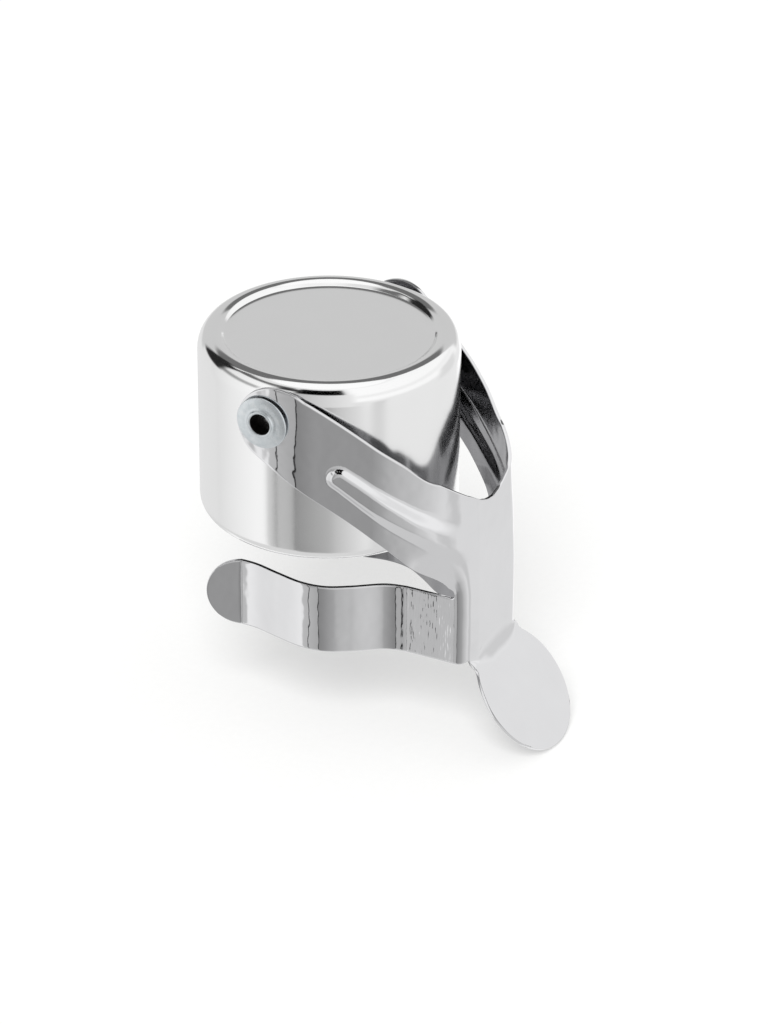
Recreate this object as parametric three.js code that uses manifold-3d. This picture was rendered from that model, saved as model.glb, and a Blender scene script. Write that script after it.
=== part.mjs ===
// Champagne stopper: a drawn steel cap with a rubber seal under its roof, and a spring clamp
// pressed from one sheet, which swings on two tubular rivets and hooks its jaws under the bottle's collar.
// Millimetres. X points from the bottle's axis to the thumb tab, Y along the pivot, Z up the bottle's axis.
// Heights are drawn from the highest ring of the cap's bead, and the whole is then lifted so that the origin is
// the middle of the sunk panel in the roof. The clamp is drawn closed.
import * as THREE from "three";
import { mergeVertices } from "three/addons/utils/BufferGeometryUtils.js";
import Module from "manifold-3d";

// Clearances
const runningGap = 0.3; // between pieces that touch or turn on each other
const fuse = 0.4; // how far the joined stretches of one pressing run into each other

// Cap, drawn from sheet
const capRadius = 20;
const capHeight = 29.6;
const capWall = 0.6;
const panelRadius = 16.0; // flat sunk panel in the roof
const panelDepth = 0.9;
const beadRise = 1.3; // width of the slope from the panel up to the bead
const beadCrest = 17.5; // radius of the bead's highest ring
const shoulderDrop = 3.2; // height of the rounded shoulder
const hemRadius = 2.1; // the open edge is turned in by this radius

// Pivot
const pivotX = 0;
const pivotZ = -6.2;
const shankRadius = 2.1;
const boreRadius = 1.6; // the rivets are tubes
const headRadius = 4.1;
const headRim = 0.35; // thickness of the head at its rim
const headCrown = 0.85; // height of the ring round the bore, over the underside of the head
const headDish = [3.3, 2.5]; // the face of the head is dished between these radii
const rivetLip = 0.28; // rounding of the ring and of the tail
const tailRadius = 3.0; // rolled end inside the cap
const tailThickness = 0.6;
const backingRadius = 3.3;
const backingThickness = 0.5;

// Distances from the bottle's axis of the parts on the pivot
const capInside = Math.sqrt((capRadius - capWall) ** 2 - (pivotX + backingRadius) ** 2);
const backingFace = capInside - runningGap;
const tailFace = backingFace - backingThickness - runningGap;

// Seal, moulded rubber
const sealClearance = 0.6; // between the seal and the tails of the rivets
const sealRadius = tailFace - tailThickness - sealClearance;
const sealThickness = 7.0;
const sealEdge = 0.8; // rounded corners of the disc
const sealBossRadius = 8.2; // boss that centres the bottle's mouth
const sealBossTip = 6.6;
const sealBossHeight = 4.5;

// Clamp sheet, seen from above: a pad beside the cap, a bend, a straight run, a rounded corner, a flat back
const sheet = 0.6;
const padFace = capRadius + runningGap + sheet; // outer face of the pad
const headFace = padFace + runningGap; // underside of the rivets' heads
const bendX = 4.5;
const bendRadius = 2.6;
const armAngle = THREE.MathUtils.degToRad(21.1); // the arms close in on the back by this angle
const armRun = 12.2;
const backX = 27.95; // outer face of the back, by its upper edge
const backHalf = 5.3; // the back is flat as far as this from the middle
const cornerLead = 2.9; // how long the arm's direction holds into the rounded corner
const backLead = 4.4; // and how long the back's does
const leanTop = -19.5; // from this height down the back leans out
const backLean = 0.03; // by this much for each millimetre
const leanStart = 17; // the arms and jaws take on the lean from here towards the back
const backBulge = 0.3; // and it is this much fuller halfway down

// Clamp sheet, seen from the side
const endRadius = 6.4; // round end of the arm
const endX = 2.1;
const endZ = -6.8;
const rimPoints = [
  [8.0, -2.95],
  [12.8, -6.35],
  [19.5, -11.5],
  [24.3, -15.6],
]; // upper edge of the arm, from the round end to the back
const heelPoints = [
  [2.8, -14.85],
  [12.8, -21.8],
  [19.5, -27.7],
]; // lower edge of the arm
const notchX = 25.9; // blind end of the slot between arm and jaw
const notchRadius = 0.85;
const backRim = [
  [1.9, -21.25],
  [3.2, -20.75],
  [4.4, -20.2],
  [5.6, -19.45],
  [6.6, -18.85],
  [7.4, -18.4],
  [8.6, -17.55],
  [9.9, -16.5],
  [11.0, -15.55],
  [12.0, -14.5],
]; // upper edge of the back seen from behind, as (distance from the middle, height)
const rimLow = -21.6; // and its lowest point, in the middle

// Ribs embossed in the arms
const ribStart = [11.3, -14.2];
const ribSlope = 0.79;
const ribHeight = 1.25;
const ribHalfWidth = 2.15;
const ribGrowth = 0.065; // the half width grows by this share of the length
const ribCrest = 0.4; // share of the half width that is flat on the lower side, where the flank is steep
const ribFade = [21, 29]; // the rib sinks into the back between these

// Jaws
const jawTop = -36.0;
const jawBottom = -47.4;
const jawRootY = 8.75;
const rootRadius = 3.0; // bend between the back and a jaw
const blendTop = -26; // the corners of the back tighten into those bends from here down
const blendLead = 5; // and from this far before the bend along the arm
const jawPoints = [
  [17.2, 8.7],
  [14.4, 9.7],
  [10.4, 12.6],
  [6.8, 14.6],
  [2.9, 15.1],
  [-1.6, 14.3],
  [-5.6, 13.4],
  [-8.4, 13.3],
]; // outer face, from the root to the bend at the tip
const tipLength = 5.4;
const tipAngle = THREE.MathUtils.degToRad(22); // the tips flare outwards

// Thumb tab
const tabRadius = 10.1;
const tabAngle = THREE.MathUtils.degToRad(39); // lean from the vertical
const foldRadius = 3.0;
const tabCentre = 8.4; // from the corner of the fold to the middle of the round tab
const neckHalf = 7.55;
const foldShare = 40; // the fold takes in this many degrees of the bends between the back and the jaws

const steel = new THREE.MeshStandardMaterial({ color: 0xd8d9db, roughness: 0.1, metalness: 1 });
const zinc = new THREE.MeshStandardMaterial({ color: 0xc3ccd2, roughness: 0.35, metalness: 1 });
const rubber = new THREE.MeshStandardMaterial({ color: 0x2b2b2c, roughness: 0.8, metalness: 0 });

const wasm = await Module();
wasm.setup();

function solid(geometry) {
  const bare = geometry.clone();
  bare.deleteAttribute("normal");
  bare.deleteAttribute("uv");
  const merged = mergeVertices(bare, 1e-4);
  return new wasm.Manifold(
    new wasm.Mesh({
      numProp: 3,
      vertProperties: merged.attributes.position.array,
      triVerts: new Uint32Array(merged.index.array),
    }),
  );
}

function geometryOf(body) {
  const data = body.getMesh();
  return new THREE.BufferGeometry()
    .setAttribute("position", new THREE.BufferAttribute(data.vertProperties, 3))
    .setIndex(new THREE.BufferAttribute(data.triVerts, 1));
}

function named(name, body, material) {
  const mesh = new THREE.Mesh(geometryOf(body), material);
  mesh.geometry.computeVertexNormals();
  mesh.name = name;
  return mesh;
}

const v2 = (x, y) => new THREE.Vector2(x, y);

// A solid turned about Z from a closed outline of (radius, z) points, listed anticlockwise.
function turned(outline, segments) {
  const lathe = new THREE.LatheGeometry(outline, segments);
  lathe.rotateX(Math.PI / 2);
  return solid(lathe);
}

function ring(inner, outer, low, high, segments) {
  const outline = [v2(inner, low), v2(outer, low), v2(outer, high), v2(inner, high), v2(inner, low)];
  return turned(outline, segments);
}

// Points of an ellipse's arc between two angles, in degrees.
function arc(x, y, rx, ry, from, to, steps) {
  const points = [];
  for (let i = 0; i <= steps; i++) {
    const angle = THREE.MathUtils.degToRad(from + ((to - from) * i) / steps);
    points.push(v2(x + rx * Math.cos(angle), y + ry * Math.sin(angle)));
  }
  return points;
}

// Extrudes a shape drawn in (x, z) through the whole width of the clamp, along Y.
function sidePrism(shape, halfWidth) {
  const prism = new THREE.ExtrudeGeometry(shape, {
    depth: 2 * halfWidth,
    bevelEnabled: false,
    curveSegments: 16,
  });
  prism.rotateX(Math.PI / 2);
  prism.translate(0, halfWidth, 0);
  return solid(prism);
}

// A pin along the pivot, for the holes.
function pivotPin(radius) {
  const pin = new THREE.CylinderGeometry(radius, radius, 4 * capRadius, 32);
  pin.translate(pivotX, 0, pivotZ);
  return solid(pin);
}

function drawnCap() {
  const shoulder = capRadius - beadCrest;
  const crestIn = panelRadius + beadRise;
  // Outer face from the middle of the roof to the open edge, then the inner face back.
  const outer = [
    v2(0, -panelDepth),
    ...arc(panelRadius, -panelDepth + beadRise / 2, beadRise / 2, beadRise / 2, 270, 315, 3),
    ...arc(crestIn + 0.2, -shoulderDrop / 2, 1.1, shoulderDrop / 2, 135, 90, 4),
    ...arc(beadCrest, -shoulderDrop, shoulder, shoulderDrop, 84, 0, 6),
    ...arc(capRadius - hemRadius, hemRadius - capHeight, hemRadius, hemRadius, 0, -84, 5),
  ];
  const inner = [
    ...arc(
      capRadius - hemRadius,
      hemRadius - capHeight,
      hemRadius - capWall,
      hemRadius - capWall,
      -84,
      0,
      4,
    ),
    ...arc(beadCrest, -shoulderDrop, shoulder - capWall, shoulderDrop - capWall, 0, 84, 4),
    v2(crestIn, -capWall - 0.1),
    v2(panelRadius - capWall / 2, -panelDepth - capWall),
    v2(0, -panelDepth - capWall),
  ];
  const profile = [...outer, ...inner].reverse();
  return turned(profile, 52).subtract(pivotPin(shankRadius + runningGap));
}

function sealPad() {
  const top = -panelDepth - capWall - runningGap;
  const low = top - sealThickness;
  const tip = low - sealBossHeight;
  const profile = [
    v2(0, tip),
    ...arc(sealBossTip - 1, tip + 1, 1, 1, 270, 360, 4),
    v2(sealBossRadius, low),
    ...arc(sealRadius - sealEdge, low + sealEdge, sealEdge, sealEdge, 270, 360, 3),
    ...arc(sealRadius - sealEdge, top - sealEdge, sealEdge, sealEdge, 0, 90, 3),
    v2(0, top),
  ];
  return turned(profile, 32);
}

// A tubular rivet, turned about its own axis: the dished head, the shank and the rolled tail.
function rivetBody() {
  const rimTop = headFace + headRim;
  const crown = headFace + headCrown;
  const profile = [
    v2(boreRadius, tailFace - tailThickness + rivetLip),
    v2(boreRadius + rivetLip, tailFace - tailThickness),
    v2(tailRadius - rivetLip, tailFace - tailThickness + 0.1),
    v2(tailRadius, tailFace - rivetLip),
    v2(tailRadius - 0.1, tailFace),
    v2(shankRadius, tailFace),
    v2(shankRadius, headFace),
    v2(headRadius, headFace),
    v2(headRadius, rimTop - 0.12),
    v2(headRadius - 0.12, rimTop),
    v2(headDish[0], rimTop + 0.16),
    v2(headDish[1], rimTop + 0.2),
    ...arc(boreRadius + rivetLip, crown - rivetLip, rivetLip, rivetLip, 0, 180, 4),
    v2(boreRadius, tailFace - tailThickness + rivetLip),
  ];
  return turned(profile, 24);
}

// Turns a body made about Z so that its axis lies on the pivot, pointing to the given side of the cap.
function onPivot(name, body, material, side) {
  const mesh = named(name, body, material);
  mesh.rotation.x = side > 0 ? -Math.PI / 2 : Math.PI / 2;
  mesh.position.set(pivotX, 0, pivotZ);
  return mesh;
}

// The clamp's outer face seen from above, on the +Y side, as curves from the pad to the back.
function armPlan() {
  const trim = bendRadius * Math.tan(armAngle / 2);
  const bendEnd = v2(
    bendX + trim * Math.cos(armAngle),
    padFace - trim * Math.sin(armAngle),
  );
  const runEnd = v2(
    bendX + armRun * Math.cos(armAngle),
    padFace - armRun * Math.sin(armAngle),
  );
  const lead = v2(
    runEnd.x + cornerLead * Math.cos(armAngle),
    runEnd.y - cornerLead * Math.sin(armAngle),
  );
  const backEnd = v2(backX, backHalf);
  return {
    pad: new THREE.LineCurve(v2(endX - endRadius - 1, padFace), v2(bendX - trim, padFace)),
    bend: new THREE.EllipseCurve(
      bendX - trim,
      padFace - bendRadius,
      bendRadius,
      bendRadius,
      Math.PI / 2,
      Math.PI / 2 - armAngle,
      true,
    ),
    run: new THREE.LineCurve(bendEnd, runEnd),
    corner: new THREE.CubicBezierCurve(runEnd, lead, v2(backX, backHalf + backLead), backEnd),
    back: new THREE.LineCurve(backEnd, v2(backX, 0)),
  };
}

function evenly(from, to, count) {
  return Array.from({ length: count + 1 }, (_, i) => from + ((to - from) * i) / count);
}

const rootX = backX - rootRadius; // where a jaw's bend ends, before the lean is added
const flatHalf = jawRootY - rootRadius; // half width of the back between the jaws

// Stations along the whole sheet, from the -Y pad round the back to the +Y pad. Each has its place on the
// plan, its outward normal, and its shift towards the jaws' bends lower down.
function armStations() {
  const plan = armPlan();
  const steps = [
    [plan.pad, [0, 0.5, 1]],
    [plan.bend, evenly(0, 1, 4)],
    [plan.run, [...evenly(0, 0.3, 2), ...evenly(0.3, 0.8, 12).slice(1), 0.9, 1]],
    [plan.corner, evenly(0, 1, 11)],
    [plan.back, evenly(0, 1, 2)],
  ];
  const half = [];
  for (const [curve, shares] of steps) {
    for (const share of half.length ? shares.slice(1) : shares) {
      const point = curve.getPoint(share);
      const along = curve.getTangent(share);
      // The curves run towards the back, so their left side faces out.
      half.push({ x: point.x, y: point.y, nx: -along.y, ny: along.x });
    }
  }
  const bendY = (s) => flatHalf + Math.sqrt(Math.max(0, rootRadius ** 2 - (s.x - rootX) ** 2));
  const root = half.find((s) => s.x >= rootX);
  for (const s of half) {
    if (s.y <= backHalf) s.shift = s.y * (flatHalf / backHalf - 1);
    else if (s.x >= rootX) s.shift = bendY(s) - s.y;
    else s.shift = (bendY(root) - root.y) * THREE.MathUtils.smoothstep(s.x, rootX - blendLead, rootX);
  }
  const mirrored = half.map((s) => ({ x: s.x, y: -s.y, nx: s.nx, ny: -s.ny, shift: -s.shift }));
  return [...mirrored, ...half.slice(0, -1).reverse()];
}

// The outward lean and fullness of the back at a height, which grow from nothing along the arms and jaws.
function leaned(x, y, z) {
  const down = Math.max(0, leanTop - z);
  const share = Math.min(1, down / (leanTop - jawBottom));
  const lean = backLean * down + backBulge * Math.sin(Math.PI * share);
  return new THREE.Vector3(x + lean * THREE.MathUtils.smoothstep(x, leanStart, rootX), y, z);
}

function ribWidth(x) {
  return ribHalfWidth + Math.max(0, x - ribStart[0]) * ribGrowth;
}

function ribAxis(x) {
  return ribStart[1] - (x - ribStart[0]) * ribSlope;
}

// How far the embossed rib stands out at a place on the side view.
function ribLift(x, z) {
  const lean = Math.hypot(1, ribSlope);
  const along = (x - ribStart[0] - (z - ribStart[1]) * ribSlope) / lean;
  const across = (z - ribAxis(x)) / lean;
  const away = along < 0 ? Math.hypot(along, across) : Math.abs(across);
  const share = THREE.MathUtils.clamp(away / ribWidth(x), 0, 1);
  const crest = ribCrest * THREE.MathUtils.clamp(0.5 - across / ribHalfWidth, 0, 1);
  const flank = Math.max(0, (share - crest) / (1 - crest));
  const fade = 1 - THREE.MathUtils.smoothstep(x, ...ribFade);
  return (ribHeight * fade * (1 + Math.cos(Math.PI * flank))) / 2;
}

// A pressed sheet: rows of outer points become a closed solid, one sheet thick. The points are a grid,
// grid[row][column], and the thickness goes to the side opposite the given outward hint.
function pressed(grid, outward) {
  const rows = grid.length;
  const columns = grid[0].length;
  const positions = [];
  const at = (i, j) => grid[Math.min(Math.max(i, 0), rows - 1)][Math.min(Math.max(j, 0), columns - 1)];
  for (const side of [0, 1]) {
    for (let i = 0; i < rows; i++) {
      for (let j = 0; j < columns; j++) {
        const down = at(i + 1, j).clone().sub(at(i - 1, j));
        const over = at(i, j + 1).clone().sub(at(i, j - 1));
        const normal = over.cross(down).normalize();
        if (normal.dot(outward(at(i, j))) < 0) normal.negate();
        positions.push(...at(i, j).clone().addScaledVector(normal, -sheet * side).toArray());
      }
    }
  }
  const index = [];
  const id = (side, i, j) => side * rows * columns + i * columns + j;
  const quad = (a, b, c, d) => index.push(a, b, c, a, c, d);
  for (let i = 0; i < rows - 1; i++) {
    for (let j = 0; j < columns - 1; j++) {
      quad(id(0, i, j), id(0, i + 1, j), id(0, i + 1, j + 1), id(0, i, j + 1));
      quad(id(1, i, j), id(1, i, j + 1), id(1, i + 1, j + 1), id(1, i + 1, j));
    }
    quad(id(0, i, 0), id(1, i, 0), id(1, i + 1, 0), id(0, i + 1, 0));
    const last = columns - 1;
    quad(id(0, i, last), id(0, i + 1, last), id(1, i + 1, last), id(1, i, last));
  }
  for (let j = 0; j < columns - 1; j++) {
    quad(id(0, 0, j), id(0, 0, j + 1), id(1, 0, j + 1), id(1, 0, j));
    const last = rows - 1;
    quad(id(0, last, j), id(1, last, j), id(1, last, j + 1), id(0, last, j + 1));
  }
  const geometry = new THREE.BufferGeometry();
  geometry.setAttribute("position", new THREE.BufferAttribute(new Float32Array(positions), 3));
  geometry.setIndex(index);
  return solid(geometry);
}

// Lower edge of the back: it meets the fold in the middle, and the jaws' lower edge beyond the fold.
function backFoot(s) {
  const across = Math.abs(s.y + s.shift);
  return THREE.MathUtils.lerp(foldTop, jawBottom, THREE.MathUtils.smoothstep(across, foldHalf, foldHalf + fuse));
}

// The two arms and the whole back, before their outline is cut.
function armBand() {
  const above = 11;
  const ribRows = [1, 0.75, 0.5, 0.25, 0, -0.4, -0.55, -0.7, -0.85, -1];
  const lowRows = [0.25, 0.5, 0.75, 1];
  const lean = Math.hypot(1, ribSlope);
  const place = (s, z) => {
    const lift = ribLift(s.x, z);
    const shift = s.shift * THREE.MathUtils.smoothstep(-z, -blendTop, -jawTop);
    return leaned(s.x + s.nx * lift, s.y + s.ny * lift + shift, z);
  };
  const columns = armStations().map((s) => {
    const reach = ribWidth(s.x) * lean;
    const ribLow = ribAxis(s.x) - reach;
    return [
      place(s, ribAxis(s.x) + above),
      ...ribRows.map((share) => place(s, ribAxis(s.x) + share * reach)),
      ...lowRows.map((share) => place(s, THREE.MathUtils.lerp(ribLow, backFoot(s), share))),
    ];
  });
  const grid = columns[0].map((_, row) => columns.map((column) => column[row]));
  return pressed(grid, (p) => new THREE.Vector3(p.x, p.y, 0).normalize());
}

// Side view of the arms and the back: round end, lower edge, slot over the jaws, open above the back.
function armOutline() {
  const shape = new THREE.Shape();
  const start = arc(endX, endZ, endRadius, endRadius, 50, 230, 28);
  shape.setFromPoints(start);
  const heel = [...heelPoints, [notchX - notchRadius, jawTop + 2 * notchRadius]];
  shape.splineThru(heel.map(([x, z]) => v2(x, z)));
  shape.absarc(notchX - notchRadius, jawTop + notchRadius, notchRadius, Math.PI / 2, 0, true);
  shape.lineTo(notchX, jawBottom);
  shape.lineTo(backX + 3, jawBottom);
  shape.lineTo(backX + 3, rimPoints.at(-1)[1]);
  shape.splineThru([...rimPoints].reverse().map(([x, z]) => v2(x, z)).concat([start[0]]));
  return shape;
}

// What is cut away over the back: a shape drawn in (y, z), extruded along X behind the arms.
function backCutter() {
  const half = backRim.map(([y, z]) => v2(y, z));
  const across = [...[...half].reverse().map((p) => v2(-p.x, p.y)), v2(0, rimLow), ...half];
  const shape = new THREE.Shape(new THREE.SplineCurve(across).getPoints(44));
  shape.lineTo(capRadius, 0);
  shape.lineTo(-capRadius, 0);
  const cutter = new THREE.ExtrudeGeometry(shape, { depth: capRadius, bevelEnabled: false });
  cutter.rotateX(Math.PI / 2);
  cutter.rotateZ(Math.PI / 2);
  cutter.translate(rimPoints.at(-1)[0], 0, 0);
  return solid(cutter);
}

// Outer face of a jaw seen from above, on the +Y side, from the bend at the back to the flared tip.
function jawPlan() {
  const root = [rootX + fuse, rootX - 1, rootX - 2.5].map((x) => v2(x, jawRootY));
  const bends = new THREE.SplineCurve([root.at(-1), ...jawPoints.map(([x, y]) => v2(x, y))]);
  const [tipX, tipY] = jawPoints.at(-1);
  const tip = v2(tipX - tipLength * Math.cos(tipAngle), tipY + tipLength * Math.sin(tipAngle));
  return [...root.slice(0, -1), ...bends.getPoints(28), tip];
}

function jawBand() {
  const rows = 2;
  const grid = [];
  for (let i = 0; i <= rows; i++) {
    const z = jawTop + ((jawBottom - jawTop) * i) / rows;
    grid.push(jawPlan().map((p) => leaned(p.x, p.y, z)));
  }
  const middle = (jawTop + jawBottom) / 2;
  const [tipX] = jawPoints.at(-1);
  const reach = tipLength * Math.cos(tipAngle);
  const round = new THREE.Shape();
  round.setFromPoints(arc(tipX + 0.3, middle, reach + 0.3, (jawTop - jawBottom) / 2, 90, 270, 24));
  round.lineTo(backX, jawBottom);
  round.lineTo(backX, jawTop);
  return pressed(grid, () => new THREE.Vector3(0.2, 1, 0)).intersect(sidePrism(round, 2 * capRadius));
}

const foldTangent = foldRadius * Math.tan(tabAngle / 2); // from the fold's corner to where its arc begins
const foldTop = jawBottom + foldTangent;
const foldHalf = flatHalf + rootRadius * Math.sin(THREE.MathUtils.degToRad(foldShare));

// The end of the back, the fold and the round thumb tab, as rows across from -Y to +Y.
function thumbTab() {
  // Half a row at the height of the jaws: how far across, and how far in from the flat of the back.
  const half = [];
  const flatSteps = 2;
  const bendSteps = 3;
  for (let i = 0; i < flatSteps; i++) half.push({ y: (flatHalf * i) / flatSteps, drop: 0 });
  for (const p of arc(0, flatHalf, rootRadius, rootRadius, 0, foldShare, bendSteps)) {
    half.push({ y: p.y, drop: rootRadius - p.x });
  }
  const row = (x, z, width, bent) => {
    const side = half.map((h) => ({
      x: x - h.drop * bent,
      y: THREE.MathUtils.lerp((h.y * width) / foldHalf, h.y, bent),
    }));
    const left = [...side].reverse().map((p) => new THREE.Vector3(p.x, -p.y, z));
    return [...left, ...side.slice(1).map((p) => new THREE.Vector3(p.x, p.y, z))];
  };
  const wallX = leaned(backX, 0, foldTop).x;
  const grid = [row(leaned(backX, 0, foldTop + fuse).x, foldTop + fuse, neckHalf, 1)];
  const foldSteps = 5;
  for (let i = 0; i <= foldSteps; i++) {
    const angle = (tabAngle * i) / foldSteps;
    const x = wallX + foldRadius * (1 - Math.cos(angle));
    const z = foldTop - foldRadius * Math.sin(angle);
    grid.push(row(x, z, neckHalf, 1 - THREE.MathUtils.smoothstep(i, 0, foldSteps)));
  }
  // On the tab each row's distance from the fold's corner follows the round outline.
  const startTurn = Math.acos((tabCentre - foldTangent) / tabRadius);
  const endTurn = Math.PI - 0.05;
  const tabRows = 16;
  for (let i = 1; i <= tabRows; i++) {
    const turn = startTurn + (endTurn - startTurn) * Math.sin((Math.PI * i) / (2 * tabRows));
    const reach = tabCentre - tabRadius * Math.cos(turn);
    const x = wallX + Math.sin(tabAngle) * reach;
    const width = turn < Math.PI / 2 ? Math.max(neckHalf, tabRadius * Math.sin(turn)) : tabRadius * Math.sin(turn);
    grid.push(row(x, jawBottom - Math.cos(tabAngle) * reach, width, 0));
  }
  return pressed(grid, () => new THREE.Vector3(1, 0, 0.3));
}

function mirrored(body) {
  const geometry = geometryOf(body);
  geometry.scale(1, -1, 1);
  const index = geometry.index.array;
  for (let i = 0; i < index.length; i += 3) {
    [index[i + 1], index[i + 2]] = [index[i + 2], index[i + 1]];
  }
  return solid(geometry);
}

function clampLever() {
  const jaw = jawBand();
  return armBand()
    .intersect(sidePrism(armOutline(), 2 * capRadius))
    .subtract(backCutter())
    .add(thumbTab())
    .add(jaw)
    .add(mirrored(jaw))
    .subtract(pivotPin(shankRadius + runningGap));
}

const stopper = new THREE.Group();
stopper.position.z = panelDepth;
stopper.add(named("cap_shell", drawnCap(), steel));
stopper.add(named("seal_pad", sealPad(), rubber));
stopper.add(named("clamp_lever", clampLever(), steel));
const rivet = rivetBody();
const backing = ring(
  shankRadius + runningGap,
  backingRadius,
  backingFace - backingThickness,
  backingFace,
  24,
);
for (const [label, side] of [
  ["left", -1],
  ["right", 1],
]) {
  stopper.add(onPivot("pivot_rivet_" + label, rivet, zinc, side));
  stopper.add(onPivot("backing_washer_" + label, backing, zinc, side));
}

export default stopper;
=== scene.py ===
# Champagne stopper in a small white studio: a drawn steel cap with its rubber seal, and a spring clamp that
# swings on two tubular rivets. Sizes are millimetres until a mesh is made, and heights are drawn from the
# highest ring of the cap's bead, as in the part's source.
import math
from collections import namedtuple

import bmesh
import bpy
from mathutils import Matrix, Vector


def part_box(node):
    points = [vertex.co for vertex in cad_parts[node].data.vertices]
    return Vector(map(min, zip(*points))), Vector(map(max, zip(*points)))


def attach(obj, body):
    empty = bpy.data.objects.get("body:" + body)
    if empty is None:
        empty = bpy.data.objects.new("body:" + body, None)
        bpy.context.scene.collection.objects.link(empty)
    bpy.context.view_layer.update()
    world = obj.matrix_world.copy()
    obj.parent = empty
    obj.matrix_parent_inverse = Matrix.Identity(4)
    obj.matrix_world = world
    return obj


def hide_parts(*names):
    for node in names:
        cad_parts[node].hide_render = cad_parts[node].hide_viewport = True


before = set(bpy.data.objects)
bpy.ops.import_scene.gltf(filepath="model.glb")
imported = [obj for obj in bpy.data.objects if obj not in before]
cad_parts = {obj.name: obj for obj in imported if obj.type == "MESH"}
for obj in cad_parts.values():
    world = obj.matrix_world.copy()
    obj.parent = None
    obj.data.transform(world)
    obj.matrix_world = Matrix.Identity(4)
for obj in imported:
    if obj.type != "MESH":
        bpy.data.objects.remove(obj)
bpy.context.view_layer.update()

MM = 0.001
MICRON = 0.000001
SMOOTH_ANGLE = math.radians(40)
WELD = 0.002  # points this near to each other are one
SHEET_WELD = 0.001
PANEL_DEPTH = 0.9  # the frame's origin is the middle of the sunk panel, this far under the bead's crest

# Cap
CAP_RADIUS = 19.96
CAP_HEIGHT = 29.6
CAP_WALL = 0.6
PANEL_RADIUS = 16.0
BEAD_CREST = 17.4
BEAD_ROUND_IN = 1.7
BEAD_ROUND_OUT = 2.28
BEAD_HOLLOW = (16.9, -0.7)  # under the bead, on the cap's inner face
SHOULDER_IN = 17.5
SHOULDER_DROP = 3.2
HEM_RADIUS = 2.1
HEM_TURN = -84  # degrees that the mouth's edge is drawn in
PANEL_EDGE = [  # the panel's foot rises gently into the bead
    (13.5, -0.9), (14.9, -0.895), (15.4, -0.872), (15.75, -0.835), (15.93, -0.79), (15.97, -0.755),
]

# Seal
SEAL_RADIUS = 16.8
SEAL_THICKNESS = 7.0
SEAL_EDGE = 0.8
SEAL_BOSS_RADIUS = 8.2
SEAL_BOSS_TIP = 6.6
SEAL_BOSS_HEIGHT = 4.5
SEAL_BOSS_EDGE = 1.0
SEAL_BOSS_FOOT = 0.35
SEAL_DRAFT = 0.1
SEAL_GAP = 0.3

# Pivot
PIVOT_Z = -6.2
PIVOT_WALL = 20  # the cap's wall, as the pivot's stack of parts counts it
SHANK_RADIUS = 2.1
BORE_RADIUS = 1.6
HEAD_RADIUS = 4.1
TAIL_RADIUS = 3.0
TAIL_THICKNESS = 0.6
TAIL_ROLL = 0.08
HEAD_RIM = 0.35
HEAD_CROWN = 0.85
HEAD_ROUND = 0.16
HEAD_ROUND_HALF = 0.17
HEAD_DISH = [(3.6, 0.1), (3.2, 0.15), (2.7, 0.16), (2.45, 0.18), (2.3, 0.24)]  # heights over the rim
RIVET_LIP = 0.28
TAIL_CHAMFER = 0.1
HEAD_CHAMFER = 0.12
BACKING_RADIUS = 3.3
BACKING_THICKNESS = 0.5
BACKING_EDGE = 0.1
RUNNING_GAP = 0.3

# Clamp seen from above
SHEET = 0.6
EDGE_ROUND = 0.1
EDGE_ANGLE = math.radians(50)
PAD_FACE = PIVOT_WALL + RUNNING_GAP + SHEET
BEND_X = 4.5
PAD_EDGE = 4.0
BEND_RADIUS = 20.0
ARM_ANGLE = math.radians(21.1)
ARM_RUN = 12.2
BACK_X = 27.95
BACK_HALF = 5.3
CORNER_LEAD = 2.9
BACK_LEAD = 4.4
LEAN_TOP = -19.5  # from here down the back leans outwards
BACK_LEAN = 0.03
BACK_BULGE = 0.3
LEAN_START = 17  # and the lean sets in at this distance from the bottle's axis

# Clamp seen from the side
END_RADIUS = 6.4
END_X = 2.1
END_Z = -6.8
END_TURN = (230, 50)  # degrees, from the heel over the pad's round end to the rim
RIM_POINTS = [(8.0, -2.95), (12.8, -6.35), (19.5, -11.5), (24.3, -15.6)]
RIM_STEER = (30.95, -15.6)  # beyond the rim's end, only to steer the curve
HEEL_POINTS = [(2.8, -14.85), (12.8, -21.8), (19.5, -27.7)]
NOTCH_X = 25.9
NOTCH_RADIUS = 0.85
SLOT_TURNS = (90, 79, 68, 57, 45, 34, 22, 0)  # degrees round the slot's blind end, no narrow strips
BACK_RIM = [
    (0, -21.6), (1.9, -21.25), (3.2, -20.75), (4.4, -20.2), (5.6, -19.45), (6.6, -18.85),
    (7.4, -18.4), (8.6, -17.55), (9.9, -16.5), (11.0, -15.55), (12.0, -14.5),
]

# Ribs
RIB_START = (11.3, -14.2)
RIB_SLOPE = 0.79
RIB_HEIGHT = 0.72
RIB_HALF_WIDTH = 1.95
RIB_GROWTH = 0.075  # its half width gains this much in each millimetre
RIB_CREST = 0.42  # share of the width that is flat
RIB_ROUNDS = (13, 24)  # between these distances from the bottle's axis the crest grows rounder,
RIB_ROUNDED = 0.7  # and loses this share of its flat
RIB_FADE = (21, 29)  # and between these the rib runs out

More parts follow.
